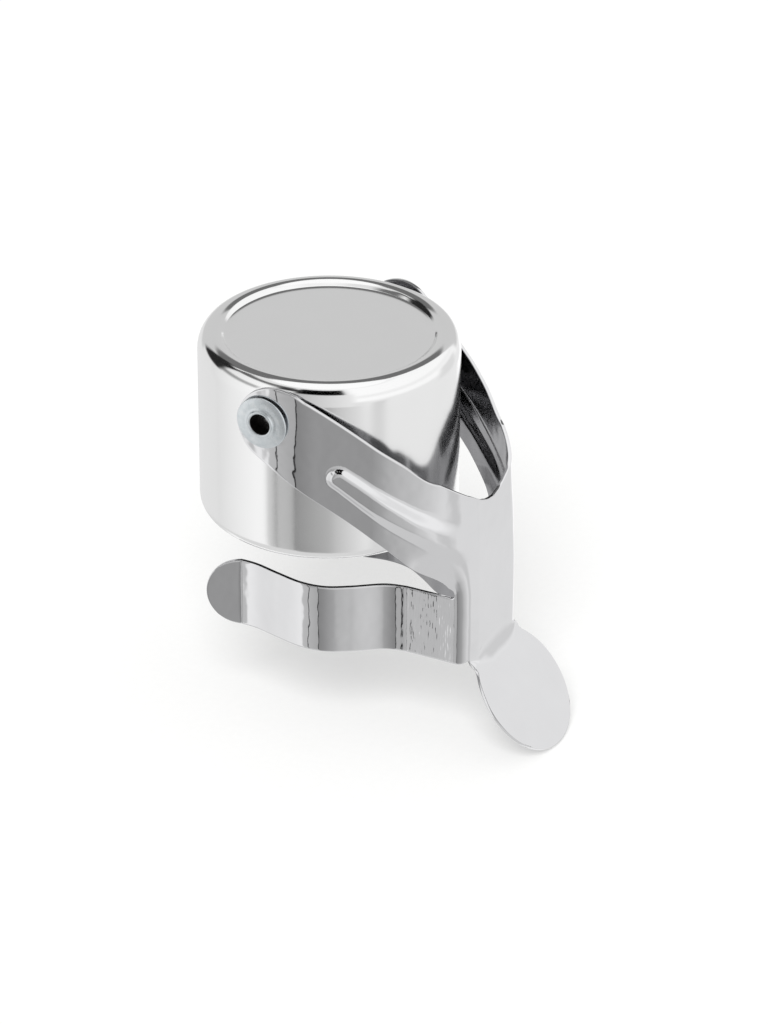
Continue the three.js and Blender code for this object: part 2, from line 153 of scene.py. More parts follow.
# Jaws
JAW_TOP = -36.0
JAW_BOTTOM = -47.4
JAW_ROOT_Y = 8.65
ROOT_RADIUS = 3.0
ROOT_LEAD = 5.0  # the arm moves over to the jaw's line from this far before the root's bend
ROOT_DONE = 0.8  # to this far before it
ROOT_FLAT = 2.5  # and the jaw runs straight over this length
BLEND_TOP = -26  # from here down to the jaws' top the corner's bend turns into the jaw's
JAW_POINTS = [
    (20.2, 8.72), (18.5, 8.77), (17.2, 8.9), (14.4, 9.75), (10.4, 12.6), (6.8, 14.6),
    (2.9, 15.1), (-1.6, 14.3), (-5.6, 13.4), (-8.4, 13.3),
]
TIP_LENGTH = 5.4
TIP_LAP = 0.3  # the round tip begins this far before the last point
TIP_ANGLE = math.radians(22)

# Rows of faces in the clamp's patches, and steps along its curves
BEND_STEPS = 14
RUN_STEPS = 56
CORNER_STEPS = 44
SLOT_STEPS = 12
TURN_STEPS = 14
MIDDLE_STEPS = 20
END_STEPS = 90
SPLINE_STEPS = 16
BACK_RIM_STEPS = 12
ROOT_STEPS = 8
TIP_STEPS = 14
ARM_ROWS = 64
JAW_ROWS = 30
HOLE_RINGS = 10
COLUMN_CLEAR = 0.1  # the outline's points stay this far from the pad's last column
FOLD_ROWS = 9
TAB_ROWS = 34

# Thumb tab
TAB_RADIUS = 10.1
TAB_ANGLE = math.radians(39)
FOLD_RADIUS = 6.0
FOLD_SIDE_RADIUS = 1.5
FOLD_SLOW_HALF = 2.5  # the fold has its full radius this far to each side of the middle
TAB_CENTRE = 8.4
NECK_HALF = 7.55
NECK_EASE = 0.5  # how softly the neck widens into the round
NECK_EASE_TURN = 0.3  # radians of the round over which it does
TAB_CORNER = math.radians(135)  # where the patch of the round tab has its lower corners
FOLD_SHARE = 40  # the fold takes in this many degrees of the bends between the back and the jaws

ROOT_X = BACK_X - ROOT_RADIUS
FLAT_HALF = JAW_ROOT_Y - ROOT_RADIUS
FOLD_HALF = FLAT_HALF + ROOT_RADIUS * math.sin(math.radians(FOLD_SHARE))
FOLD_X = ROOT_X + ROOT_RADIUS * math.cos(math.radians(FOLD_SHARE))


def in_frame(x, y, z):
    """A drawn point in millimetres as a point of the frame in metres."""
    return Vector((x, y, z + PANEL_DEPTH)) * MM


def clamped(value, low=0.0, high=1.0):
    return min(max(value, low), high)


def smoothstep(value, low, high):
    t = clamped((value - low) / (high - low))
    return t * t * (3 - 2 * t)


def mixed(a, b, share):
    return a + (b - a) * share


def evenly(low, high, count):
    return [mixed(low, high, i / count) for i in range(count + 1)]


def arc(x, y, radius, start, end, steps, height=None):
    """Points of a circle's arc, or of an ellipse's with a height of its own, between angles in degrees."""
    height = radius if height is None else height
    angles = [math.radians(a) for a in evenly(start, end, steps)]
    return [(x + radius * math.cos(a), y + height * math.sin(a)) for a in angles]


def spline(points, steps):
    """A smooth curve through points, with some steps between each two."""
    curve = []
    last = len(points) - 1
    for i in range(last):
        p0, p1, p2, p3 = (points[int(clamped(k, 0, last))] for k in (i - 1, i, i + 1, i + 2))
        for step in range(steps):
            t = step / steps
            curve.append(tuple(
                b + (c - a) * t / 2
                + (a - 2.5 * b + 2 * c - d / 2) * t * t
                + (1.5 * (b - c) + (d - a) / 2) * t ** 3
                for a, b, c, d in zip(p0, p1, p2, p3)
            ))
    return curve + [points[-1]]


def height_on(curve, x):
    """The second coordinate of a curve where its first, which rises, is x."""
    for (x0, y0), (x1, y1) in zip(curve, curve[1:]):
        if x <= x1:
            return mixed(y0, y1, clamped((x - x0) / (x1 - x0)))
    return curve[-1][1]


def deselect():
    bpy.ops.object.select_all(action="DESELECT")


def choose(piece):
    deselect()
    piece.select_set(True)
    bpy.context.view_layer.objects.active = piece


def apply_modifiers(piece):
    choose(piece)
    for modifier in list(piece.modifiers):
        bpy.ops.object.modifier_apply(modifier=modifier.name)


def smooth(piece):
    choose(piece)
    bpy.ops.object.shade_smooth_by_angle(angle=SMOOTH_ANGLE)


def spun(name, profile, centre, axis, steps):
    """A turned piece: a point is extruded along the profile, in (radius, height), and the line is spun."""
    axis = Vector(axis)
    out = Vector((1, 0, 0))
    places = [centre + (out * r + axis * h) * MM for r, h in profile]
    deselect()
    bpy.ops.mesh.primitive_plane_add(size=MM, location=places[0])
    piece = bpy.context.object
    piece.name = name
    bpy.ops.object.transform_apply(location=True, rotation=False, scale=False)
    bpy.ops.object.mode_set(mode="EDIT")
    bpy.ops.mesh.select_all(action="SELECT")
    bpy.ops.mesh.merge(type="CENTER")
    for before, after in zip(places, places[1:]):
        bpy.ops.mesh.extrude_region_move(TRANSFORM_OT_translate={"value": after - before})
    bpy.ops.mesh.select_all(action="SELECT")
    bpy.ops.mesh.spin(steps=steps, angle=2 * math.pi, center=centre, axis=axis)
    bpy.ops.mesh.select_all(action="SELECT")
    bpy.ops.mesh.remove_doubles(threshold=WELD * MM)
    bpy.ops.mesh.normals_make_consistent(inside=False)
    bpy.ops.object.mode_set(mode="OBJECT")
    smooth(piece)
    return piece


def dress(piece, body, finish, node):
    """Gives a piece its finish and its body, and hides the node that it stands for."""
    piece.data.materials.clear()
    piece.data.materials.append(finish)
    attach(piece, body)
    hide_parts(node)


# Cap, seal and pivot


def make_cap():
    """Drawn cup: its outer face from the panel down to the mouth, and its inner face back up."""
    shoulder = CAP_RADIUS - SHOULDER_IN
    low = HEM_RADIUS - CAP_HEIGHT
    outer = [
        (0, -PANEL_DEPTH),
        *PANEL_EDGE,
        *arc(BEAD_CREST, -BEAD_ROUND_IN, BEAD_ROUND_IN, 132, 90, 12),
        *arc(BEAD_CREST, -BEAD_ROUND_OUT, BEAD_ROUND_OUT, 88, 45, 12),
        *arc(SHOULDER_IN, -SHOULDER_DROP, shoulder, 49, 0, 18, height=SHOULDER_DROP),
        *[(CAP_RADIUS, z) for z in evenly(-SHOULDER_DROP, low, 20)[1:-1]],
        *arc(CAP_RADIUS - HEM_RADIUS, low, HEM_RADIUS, 0, HEM_TURN, 14),
    ]
    drop_in = SHOULDER_DROP - CAP_WALL
    inner = [
        *arc(CAP_RADIUS - HEM_RADIUS, low, HEM_RADIUS - CAP_WALL, HEM_TURN, 0, 12),
        *arc(SHOULDER_IN, -SHOULDER_DROP, shoulder - CAP_WALL, 0, 84, 12, height=drop_in),
        BEAD_HOLLOW,
        (PANEL_RADIUS - CAP_WALL / 2, -PANEL_DEPTH - CAP_WALL),
        (0, -PANEL_DEPTH - CAP_WALL),
    ]
    return spun("cap_drawn", outer + inner, in_frame(0, 0, 0), (0, 0, 1), steps=200)


def make_seal():
    """Moulded rubber: a disc under the roof, with a boss that centres the bottle's mouth."""
    top = -PANEL_DEPTH - CAP_WALL - SEAL_GAP
    low = top - SEAL_THICKNESS
    tip = low - SEAL_BOSS_HEIGHT
    profile = [
        (0, tip),
        *arc(SEAL_BOSS_TIP - SEAL_BOSS_EDGE, tip + SEAL_BOSS_EDGE, SEAL_BOSS_EDGE, 270, 350, 6),
        (SEAL_BOSS_RADIUS - SEAL_DRAFT, low - SEAL_BOSS_FOOT),
        (SEAL_BOSS_RADIUS + SEAL_BOSS_FOOT, low),
        *arc(SEAL_RADIUS - SEAL_EDGE, low + SEAL_EDGE, SEAL_EDGE, 270, 360, 8),
        *arc(SEAL_RADIUS - SEAL_EDGE, top - SEAL_EDGE, SEAL_EDGE, 0, 90, 8),
        (0, top),
    ]
    return spun("seal_moulding", profile, in_frame(0, 0, 0), (0, 0, 1), steps=120)


# Distances from the bottle's axis, out along the pivot
cap_inside = math.sqrt((PIVOT_WALL - CAP_WALL) ** 2 - BACKING_RADIUS ** 2)
backing_face = cap_inside - RUNNING_GAP
tail_face = backing_face - BACKING_THICKNESS - RUNNING_GAP
head_face = PAD_FACE + RUNNING_GAP


def make_rivet(name, side):
    """Tubular rivet: a rolled tail inside the cap, a shank with its bore, and a dished head outside."""
    rim_top = head_face + HEAD_RIM
    crown = head_face + HEAD_CROWN
    tail_end = tail_face - TAIL_THICKNESS
    lip, rim_half = RIVET_LIP, HEAD_ROUND_HALF
    profile = [
        (BORE_RADIUS, tail_end + lip),
        *arc(BORE_RADIUS + lip, tail_end + lip, lip, 180, 270, 5),
        (TAIL_RADIUS - lip, tail_end + TAIL_ROLL),
        *arc(TAIL_RADIUS - lip, tail_face - lip, lip, -60, 20, 4),
        (TAIL_RADIUS - TAIL_CHAMFER, tail_face),
        (SHANK_RADIUS, tail_face),
        (SHANK_RADIUS, head_face),
        (HEAD_RADIUS - HEAD_CHAMFER, head_face),
        *arc(HEAD_RADIUS - HEAD_ROUND, rim_top - rim_half, HEAD_ROUND, -90, 90, 8, height=rim_half),
        *[(r, rim_top + rise) for r, rise in HEAD_DISH],
        *arc(BORE_RADIUS + lip, crown - lip, lip, 20, 180, 10),
        (BORE_RADIUS, tail_end + lip),
    ]
    return spun(name, profile, in_frame(0, 0, PIVOT_Z), (0, side, 0), steps=96)


def make_backing(name, side):
    """Washer under the rivet's tail, with broken edges."""
    inner = SHANK_RADIUS + RUNNING_GAP
    low = backing_face - BACKING_THICKNESS
    edge = BACKING_EDGE
    profile = [
        (inner, low + edge),
        (inner + edge, low),
        (BACKING_RADIUS - edge, low),
        (BACKING_RADIUS, low + edge),
        (BACKING_RADIUS, backing_face - edge),
        (BACKING_RADIUS - edge, backing_face),
        (inner + edge, backing_face),
        (inner, backing_face - edge),
        (inner, low + edge),
    ]
    return spun(name, profile, in_frame(0, 0, PIVOT_Z), (0, side, 0), steps=72)


# Clamp

Station = namedtuple("Station", "x y nx ny")


def bezier(points, t):
    a, b, c, d = points
    u = 1 - t
    return tuple(
        u ** 3 * p + 3 * u * u * t * q + 3 * u * t * t * r + t ** 3 * s for p, q, r, s in zip(a, b, c, d)
    )


def bezier_way(points, t):
    a, b, c, d = points
    u = 1 - t
    dx, dy = (
        3 * u * u * (q - p) + 6 * u * t * (r - q) + 3 * t * t * (s - r) for p, q, r, s in zip(a, b, c, d)
    )
    length = math.hypot(dx, dy)
    return dx / length, dy / length


TRIM = BEND_RADIUS * math.tan(ARM_ANGLE / 2)
BEND_START = BEND_X - TRIM
BEND_END = (BEND_X + TRIM * math.cos(ARM_ANGLE), PAD_FACE - TRIM * math.sin(ARM_ANGLE))
RUN_END = (BEND_X + ARM_RUN * math.cos(ARM_ANGLE), PAD_FACE - ARM_RUN * math.sin(ARM_ANGLE))
CORNER = [
    RUN_END,
    (RUN_END[0] + CORNER_LEAD * math.cos(ARM_ANGLE), RUN_END[1] - CORNER_LEAD * math.sin(ARM_ANGLE)),
    (BACK_X, BACK_HALF + BACK_LEAD),
    (BACK_X, BACK_HALF),
]


def corner_share(x):
    """How far along the rounded corner a given distance from the bottle's axis lies."""
    low, high = 0.0, 1.0
    for _ in range(50):
        middle = (low + high) / 2
        if bezier(CORNER, middle)[0] < x:
            low = middle
        else:
            high = middle
    return low


def corner_station(share):
    x, y = bezier(CORNER, share)
    dx, dy = bezier_way(CORNER, share)
    return Station(x, y, -dy, dx)


def pad_y(x):
    """How far out the pad's face lies: flat, and then part of the bend."""
    return PAD_FACE - BEND_RADIUS + math.sqrt(BEND_RADIUS ** 2 - max(0, x - BEND_START) ** 2)


def arm_stations():
    """Stations of the +Y arm up to the slot, round the slot's blind end, and of the back to its middle."""
    arm = []
    for angle in evenly(math.asin((PAD_EDGE - BEND_START) / BEND_RADIUS), ARM_ANGLE, BEND_STEPS):
        arm.append(Station(
            BEND_START + BEND_RADIUS * math.sin(angle),
            PAD_FACE - BEND_RADIUS + BEND_RADIUS * math.cos(angle),
            math.sin(angle),
            math.cos(angle),
        ))
    for share in evenly(0, 1, RUN_STEPS)[1:]:
        x, y = mixed(BEND_END[0], RUN_END[0], share), mixed(BEND_END[1], RUN_END[1], share)
        arm.append(Station(x, y, math.sin(ARM_ANGLE), math.cos(ARM_ANGLE)))
    slot_start = corner_share(SLOT_X - NOTCH_RADIUS)
    arm += [corner_station(share) for share in evenly(0, slot_start, CORNER_STEPS)[1:]]
    slot = [
        corner_station(corner_share(SLOT_X - NOTCH_RADIUS * (1 - math.cos(math.radians(turn)))))
        for turn in SLOT_TURNS
    ]
    slot_share = corner_share(SLOT_X)
    fold_share = corner_share(FOLD_X)
    back = [corner_station(share) for share in evenly(slot_share, fold_share, SLOT_STEPS)]
    back += [corner_station(share) for share in evenly(fold_share, 1, TURN_STEPS)[1:]]
    back += [Station(BACK_X, y, 1, 0) for y in evenly(BACK_HALF, 0, MIDDLE_STEPS)[1:]]
    return arm + slot[1:], slot, back


def bend_y(x):
    return FLAT_HALF + math.sqrt(max(0, ROOT_RADIUS ** 2 - (x - ROOT_X) ** 2))


def root_shift(s):
    """How far a station moves across towards the jaw's bend, lower down."""
    if s.y <= BACK_HALF:
        return s.y * (FLAT_HALF / BACK_HALF - 1)
    if s.x >= ROOT_X:
        return bend_y(s.x) - s.y
    return (JAW_ROOT_Y - s.y) * smoothstep(s.x, ROOT_X - ROOT_LEAD, ROOT_X - ROOT_DONE)


def lean_at(z):
    down = max(0, LEAN_TOP - z)
    share = min(1, down / (LEAN_TOP - JAW_BOTTOM))
    return BACK_LEAN * down + BACK_BULGE * math.sin(math.pi * share)


SLOT_X = NOTCH_X - lean_at(JAW_TOP + NOTCH_RADIUS)  # the slot's blind end before the lean is added


def leaned(x, y, z):
    return Vector((x + lean_at(z) * smoothstep(x, LEAN_START, ROOT_X), y, z))


def rib_lift(x, z):
    """How far the embossed rib stands out at a place on the side view."""
    lean = math.hypot(1, RIB_SLOPE)
    along = (x - RIB_START[0] - (z - RIB_START[1]) * RIB_SLOPE) / lean
    across = (z - RIB_START[1] + (x - RIB_START[0]) * RIB_SLOPE) / lean
    away = math.hypot(along, across) if along < 0 else abs(across)
    width = RIB_HALF_WIDTH + max(0, x - RIB_START[0]) * RIB_GROWTH
    share = clamped(away / width)
    crest = RIB_CREST * (1 - RIB_ROUNDED * smoothstep(x, *RIB_ROUNDS))
    flank = max(0, (share - crest) / (1 - crest))
    fade = 1 - smoothstep(x, *RIB_FADE)
    return RIB_HEIGHT * fade * (1 + math.cos(math.pi * flank)) / 2


def on_sheet(s, z):
    lift = rib_lift(s.x, z)
    shift = root_shift(s) * smoothstep(-z, -BLEND_TOP, -JAW_TOP)
    return leaned(s.x + s.nx * lift, s.y + s.ny * lift + shift, z)


END_ARC = arc(END_X, END_Z, END_RADIUS, *END_TURN, END_STEPS)
RIM = spline([END_ARC[-1], *RIM_POINTS, RIM_STEER], SPLINE_STEPS)[:-SPLINE_STEPS]
BACK_RIM_CURVE = spline(BACK_RIM, BACK_RIM_STEPS)
HEEL_END = (NOTCH_X - NOTCH_RADIUS, JAW_TOP + 2 * NOTCH_RADIUS)
HEEL = spline([END_ARC[0], *HEEL_POINTS, HEEL_END], SPLINE_STEPS)


def rim_height(s):
    if s.x < RIM[0][0]:
        return END_Z + math.sqrt(END_RADIUS ** 2 - (s.x - END_X) ** 2)
    if s.x > RIM_POINTS[-1][0]:
        return height_on(BACK_RIM_CURVE, s.y)
    return height_on(RIM, s.x)


def heel_height(s):
    start = SLOT_X - NOTCH_RADIUS
    if s.x > start:
        across = min(NOTCH_RADIUS, s.x - start)
        return JAW_TOP + NOTCH_RADIUS + math.sqrt(NOTCH_RADIUS ** 2 - across ** 2)
    z = height_on(HEEL, s.x)
    for _ in range(3):  # the lean carries the point along the heel, and each pass comes nearer
        z = height_on(HEEL, leaned(s.x, s.y, z).x)
    return z


def pad_patch(column):
    """The pad round the pivot's hole, from the hole to the outline. The column joins it to the arm."""
    near = column[0].x - COLUMN_CLEAR
    heel = [(x, z) for x, z in HEEL if x < near]
    top = [(x, z) for x, z in END_ARC if x < near or z < END_Z]
    loop = heel[::-1] + top[1:] + [(p.x, p.z) for p in column]
    rings = []
    hole = SHANK_RADIUS + RUNNING_GAP
    for x, z in loop:
        reach = math.hypot(x, z - PIVOT_Z)
        inner_x, inner_z = x * hole / reach, PIVOT_Z + (z - PIVOT_Z) * hole / reach
        ring = zip(evenly(inner_x, x, HOLE_RINGS), evenly(inner_z, z, HOLE_RINGS))
        rings.append([Vector((a, pad_y(a), b)) for a, b in ring])
    rings.append(rings[0])
    return rings


def coons(top, bottom, left, right):
    """A patch between four borders: top and bottom run from left to right, left and right downwards."""
    across, down = len(top) - 1, len(left) - 1
    patch = []
    for j in range(across + 1):
        u = j / across
        column = []
        for i in range(down + 1):
            v = i / down
            ruled = top[j] * (1 - v) + bottom[j] * v + left[i] * (1 - u) + right[i] * u
            high = top[0] * (1 - u) + top[-1] * u
            low = bottom[0] * (1 - u) + bottom[-1] * u
            column.append(ruled - high * (1 - v) - low * v)
        patch.append(column)
    return patch


def fold_radius(y):
    """The fold's radius across the tab: wide in the middle and tight at its ends."""
    return mixed(FOLD_RADIUS, FOLD_SIDE_RADIUS, smoothstep(abs(y), FOLD_SLOW_HALF, NECK_HALF))


def fold_tangent(y):
    return fold_radius(y) * math.tan(TAB_ANGLE / 2)


def back_foot(s):
    """Lower edge of the back: it meets the fold in the middle, and the jaws' lower edge beyond the fold."""
    y = s.y + root_shift(s)
    return JAW_BOTTOM + fold_tangent(y) * (1 - smoothstep(y, FOLD_HALF, JAW_ROOT_Y))


def jaw_patches(slot):
    """The +Y jaw from the slot's blind end to its round tip."""
    columns = []
    for s in slot[::-1]:
        across = s.x - SLOT_X + NOTCH_RADIUS
        top = JAW_TOP + NOTCH_RADIUS - math.sqrt(max(0, NOTCH_RADIUS ** 2 - across ** 2))
        columns.append([on_sheet(s, z) for z in evenly(top, JAW_BOTTOM, JAW_ROWS)])
    root = (ROOT_X - ROOT_FLAT, JAW_ROOT_Y)
    plan = [(x, JAW_ROOT_Y) for x in evenly(slot[0].x, root[0], ROOT_STEPS)[1:]]
    plan += spline([root, *JAW_POINTS], SPLINE_STEPS)[1:]
    tip_x, tip_y = JAW_POINTS[-1]
    reach = TIP_LENGTH * math.cos(TIP_ANGLE)
    middle = (JAW_TOP + JAW_BOTTOM) / 2
    high = (JAW_TOP - JAW_BOTTOM) / 2
    centre = tip_x + TIP_LAP
    curve = [(tip_x - reach, tip_y + TIP_LENGTH * math.sin(TIP_ANGLE)), *plan[::-1]]
    flat = [p for p in plan if p[0] > centre]
    for x, y in flat + [(centre, height_on(curve, centre))]:
        columns.append([leaned(x, y, z) for z in evenly(JAW_TOP, JAW_BOTTOM, JAW_ROWS)])
    top, left, bottom = (
        [Vector(p) for p in arc(centre, middle, reach + TIP_LAP, start, end, count, height=high)]
        for start, end, count in ((135, 90, TIP_STEPS), (135, 225, JAW_ROWS), (225, 270, TIP_STEPS))
    )
    right = [Vector((centre, z)) for z in evenly(JAW_TOP, JAW_BOTTOM, JAW_ROWS)]
    tip = coons(top, bottom, left, right)
    for column in tip[-2::-1]:
        columns.append([Vector((p.x, height_on(curve, p.x), p.y)) for p in column])
    return columns


def tab_patches(neck):
    """The fold and the round thumb tab, from the row of points along the foot of the back."""
    wall = leaned(BACK_X, 0, JAW_BOTTOM).x
    rows = [neck]
    for i in range(1, FOLD_ROWS + 1):
        angle = TAB_ANGLE * i / FOLD_ROWS
        bent = 1 - smoothstep(i, 0, FOLD_ROWS)
        rows.append([
            Vector((
                wall + fold_radius(p.y) * (1 - math.cos(angle)) - (wall - p.x) * bent,
                p.y * mixed(NECK_HALF / FOLD_HALF, 1, bent),
                p.z - fold_radius(p.y) * math.sin(angle),
            )) for p in neck
        ])
    # On the flat tab a place is (distance across, reach from the fold's corner).
    top = [Vector((p.y, fold_tangent(q.y))) for p, q in zip(rows[-1], neck)]
    side_tangent = top[0].y
    round_start = math.acos((TAB_CENTRE - side_tangent) / TAB_RADIUS)
    side = []
    for turn in evenly(round_start, TAB_CORNER, TAB_ROWS):
        width = TAB_RADIUS * math.sin(turn)
        if turn < math.pi / 2:
            gap = width - NECK_HALF
            width = NECK_HALF + (gap + math.hypot(gap, NECK_EASE)) / 2
            eased = smoothstep(turn, round_start, round_start + NECK_EASE_TURN)
            width -= NECK_EASE / 2 * (1 - eased)
        side.append((width, TAB_CENTRE - TAB_RADIUS * math.cos(turn)))
    side[0] = (abs(top[0].x), side_tangent)
    flip = 1 if top[0].x < top[-1].x else -1
    left = [Vector((-flip * w, r)) for w, r in side]
    right = [Vector((flip * w, r)) for w, r in side]
    bottom = [
        Vector((-flip * TAB_RADIUS * math.sin(turn), TAB_CENTRE - TAB_RADIUS * math.cos(turn)))
        for turn in evenly(TAB_CORNER, 2 * math.pi - TAB_CORNER, len(top) - 1)
    ]
    patch = coons(top, bottom, left, right)
    for i in range(1, TAB_ROWS + 1):
        rows.append([
            Vector((wall + math.sin(TAB_ANGLE) * c[i].y, c[i].x, JAW_BOTTOM - math.cos(TAB_ANGLE) * c[i].y))
            for c in patch
        ])
    return rows


def make_clamp():
    """One pressed sheet: patches of its outer face that share their borders, then thickened."""
    arm, slot, back = arm_stations()
    arm_grid = [[on_sheet(s, z) for z in evenly(rim_height(s), heel_height(s), ARM_ROWS)] for s in arm]
    back_grid = []
    for s in back:
        upper = evenly(rim_height(s), JAW_TOP + NOTCH_RADIUS, ARM_ROWS)
        lower = evenly(JAW_TOP + NOTCH_RADIUS, back_foot(s), JAW_ROWS)[1:]
        back_grid.append([on_sheet(s, z) for z in upper + lower])
    half = [pad_patch(arm_grid[0]), arm_grid, back_grid, jaw_patches(slot)]
    foot = [column[-1] for s, column in zip(back, back_grid) if s.x > FOLD_X - 0.001]
    mirrored_foot = [Vector((p.x, -p.y, p.z)) for p in foot[:-1]]
    tab = tab_patches(mirrored_foot + foot[::-1])
    mesh = bpy.data.meshes.new("clamp_sheet")
    form = bmesh.new()

    def add(patch, side):
        corners = [[form.verts.new(in_frame(p.x, side * p.y, p.z)) for p in line] for line in patch]
        for a, b in zip(corners, corners[1:]):
            for i in range(len(a) - 1):
                form.faces.new((a[i], a[i + 1], b[i + 1], b[i]))

    for patch in half:
        add(patch, 1)
        add(patch, -1)
    add(tab, 1)
    bmesh.ops.remove_doubles(form, verts=form.verts[:], dist=SHEET_WELD * MM)
    bmesh.ops.recalc_face_normals(form, faces=form.faces[:])
    upright = [face for face in form.faces if abs(face.normal.x) > 0.9]  # the back is among them
    if max(upright, key=lambda face: face.calc_center_median().x).normal.x < 0:
        bmesh.ops.reverse_faces(form, faces=form.faces[:])
    form.to_mesh(mesh)
    form.free()
    piece = bpy.data.objects.new("clamp_sheet", mesh)
    bpy.context.scene.collection.objects.link(piece)
    thickness = piece.modifiers.new("thickness", "SOLIDIFY")
    thickness.thickness = SHEET * MM
    thickness.offset = -1
    thickness.use_even_offset = True
    edge = piece.modifiers.new("edge", "BEVEL")
    edge.width = EDGE_ROUND * MM
    edge.segments = 3
    edge.limit_method = "ANGLE"
    edge.angle_limit = EDGE_ANGLE
    edge.use_clamp_overlap = False
    apply_modifiers(piece)
    smooth(piece)
    return piece


# Finishes


class Value:
    """A socket of a node tree that takes part in sums as a number does."""

    def __init__(self, finish, socket):
        self.finish = finish
        self.socket = socket

    def sum_of(self, operation, first, second):
        return self.finish.node("ShaderNodeMath", {"operation": operation}, {0: first, 1: second})

    def __add__(self, other):
        return self.sum_of("ADD", self, other)

    def __radd__(self, other):
        return self.sum_of("ADD", other, self)

    def __sub__(self, other):
        return self.sum_of("SUBTRACT", self, other)

    def __rsub__(self, other):
        return self.sum_of("SUBTRACT", other, self)

    def __mul__(self, other):
        return self.sum_of("MULTIPLY", self, other)

    def __rmul__(self, other):
        return self.sum_of("MULTIPLY", other, self)

    def __pow__(self, other):
        return self.sum_of("POWER", self, other)


class Tree:
    """The nodes of one finish, or of the studio's world."""

    def __init__(self, owner):
        owner.use_nodes = True
        self.tree = owner.node_tree
        self.tree.nodes.clear()

    def node(self, kind, settings=None, inputs=None, output=0):
        made = self.tree.nodes.new(kind)
        for key, value in (settings or {}).items():
            setattr(made, key, value)
        for key, value in (inputs or {}).items():
            if isinstance(value, Value):
                self.tree.links.new(value.socket, made.inputs[key])
            else:
                made.inputs[key].default_value = value
        return Value(self, made.outputs[output]) if len(made.outputs) else made

    def noise(self, scale, detail, stretch=(1, 1, 1)):
        place = self.node("ShaderNodeTexCoord", output="Object")
        place = self.node("ShaderNodeMapping", {}, {"Vector": place, "Scale": stretch})
        return self.node("ShaderNodeTexNoise", {}, {"Vector": place, "Scale": scale, "Detail": detail})

    def blend(self, share, first, second):
        """A colour between two, each a value or a plain red, green and blue."""
        first, second = (c if isinstance(c, Value) else (*c, 1) for c in (first, second))
        inputs = {0: share, 6: first, 7: second}
        return self.node("ShaderNodeMix", {"data_type": "RGBA"}, inputs, output=2)

    def place(self, axis):
        place = self.node("ShaderNodeTexCoord", output="Object")
        return self.node("ShaderNodeSeparateXYZ", {}, {0: place}, output=axis)

    def facing_out(self):
        """How far a face looks away from the bottle's axis, in metres, below 0 where it looks inwards."""
        place = self.node("ShaderNodeTexCoord", output="Object")
        level = self.node("ShaderNodeVectorMath", {"operation": "MULTIPLY"}, {0: place, 1: (1, 1, 0)})
        normal = self.node("ShaderNodeTexCoord", output="Normal")
        dot = {"operation": "DOT_PRODUCT"}
        return self.node("ShaderNodeVectorMath", dot, {0: level, 1: normal}, output="Value")

    def share(self, value, none, full):
        """Rises smoothly from 0 to 1 as a value goes from one place to another."""
        inputs = {"Value": value, "From Min": none, "From Max": full}
        return self.node("ShaderNodeMapRange", {"interpolation_type": "SMOOTHSTEP"}, inputs)

    def bump(self, height, strength, distance):
        inputs = {"Height": height, "Strength": strength, "Distance": distance}
        return self.node("ShaderNodeBump", {}, inputs)

    def surface(self, **inputs):
        names = {key.replace("_", " "): value for key, value in inputs.items()}
        shader = self.node("ShaderNodeBsdfPrincipled", {}, names)
        self.node("ShaderNodeOutputMaterial", {}, {"Surface": shader})


def cap_finish():
    """Chrome over a drawn cup: bright on the shoulder, a little duller down the wall."""
    material = bpy.data.materials.new("cap_chrome")
    tree = Tree(material)
    clouds = tree.noise(180, 3.0)
    grain = tree.noise(5200, 2.0)
    streaks = tree.noise(700, 2.0, stretch=(1, 1, 0.12))
    wall = tree.share(tree.place("Z"), -1 * MM, -4 * MM)
    tree.surface(
        Base_Color=tree.blend(clouds, (0.91, 0.91, 0.91), (0.94, 0.94, 0.94)),
        Metallic=1.0,
        Roughness=0.075 + 0.07 * wall + 0.03 * clouds,
        Normal=tree.bump(streaks + 0.3 * grain, 0.3 + 0.7 * wall, 4 * MICRON),
    )
    return material


def clamp_finish():
    """Chrome over a pressing: slow ripples, drag lines at the jaws' roots, and an inner side that is
    rougher and darkened by painted shade.
    """
    material = bpy.data.materials.new("clamp_chrome")
    tree = Tree(material)
    clouds = tree.noise(180, 3.0)
    grain = tree.noise(2600, 2.0)
    waves = tree.noise(380, 1.0)
    swell = tree.noise(95, 0.0)
    drag = tree.noise(4200, 0.0, stretch=(1, 1, 0.2))
    x, z = tree.place("X"), tree.place("Z") - PANEL_DEPTH * MM
    below = tree.share(z, (JAW_TOP + 1) * MM, (JAW_TOP - 1) * MM)
    root = tree.share(x, 16 * MM, 19 * MM) * tree.share(x, 27 * MM, 25 * MM) * below
    # Faces that look inwards, towards the cap, are painted dark as shade between the sheet and the cap, and
    # made rougher
    inner = tree.share(tree.facing_out(), -1 * MM, -4 * MM)
    outside = tree.blend(clouds, (0.76, 0.76, 0.77), (0.80, 0.80, 0.81))
    # Painted shade: the dark colour given to the inward faces
    inside = tree.blend(clouds, (0.26, 0.26, 0.27), (0.36, 0.36, 0.37))
    tree.surface(
        Base_Color=tree.blend(inner, outside, inside),
        Metallic=1.0,
        Roughness=0.03 + 0.02 * clouds + 0.12 * inner,
        Normal=tree.bump(5 * waves + 9 * swell + 0.06 * grain + 0.8 * root * drag, 1.0, 10 * MICRON),
    )
    return material


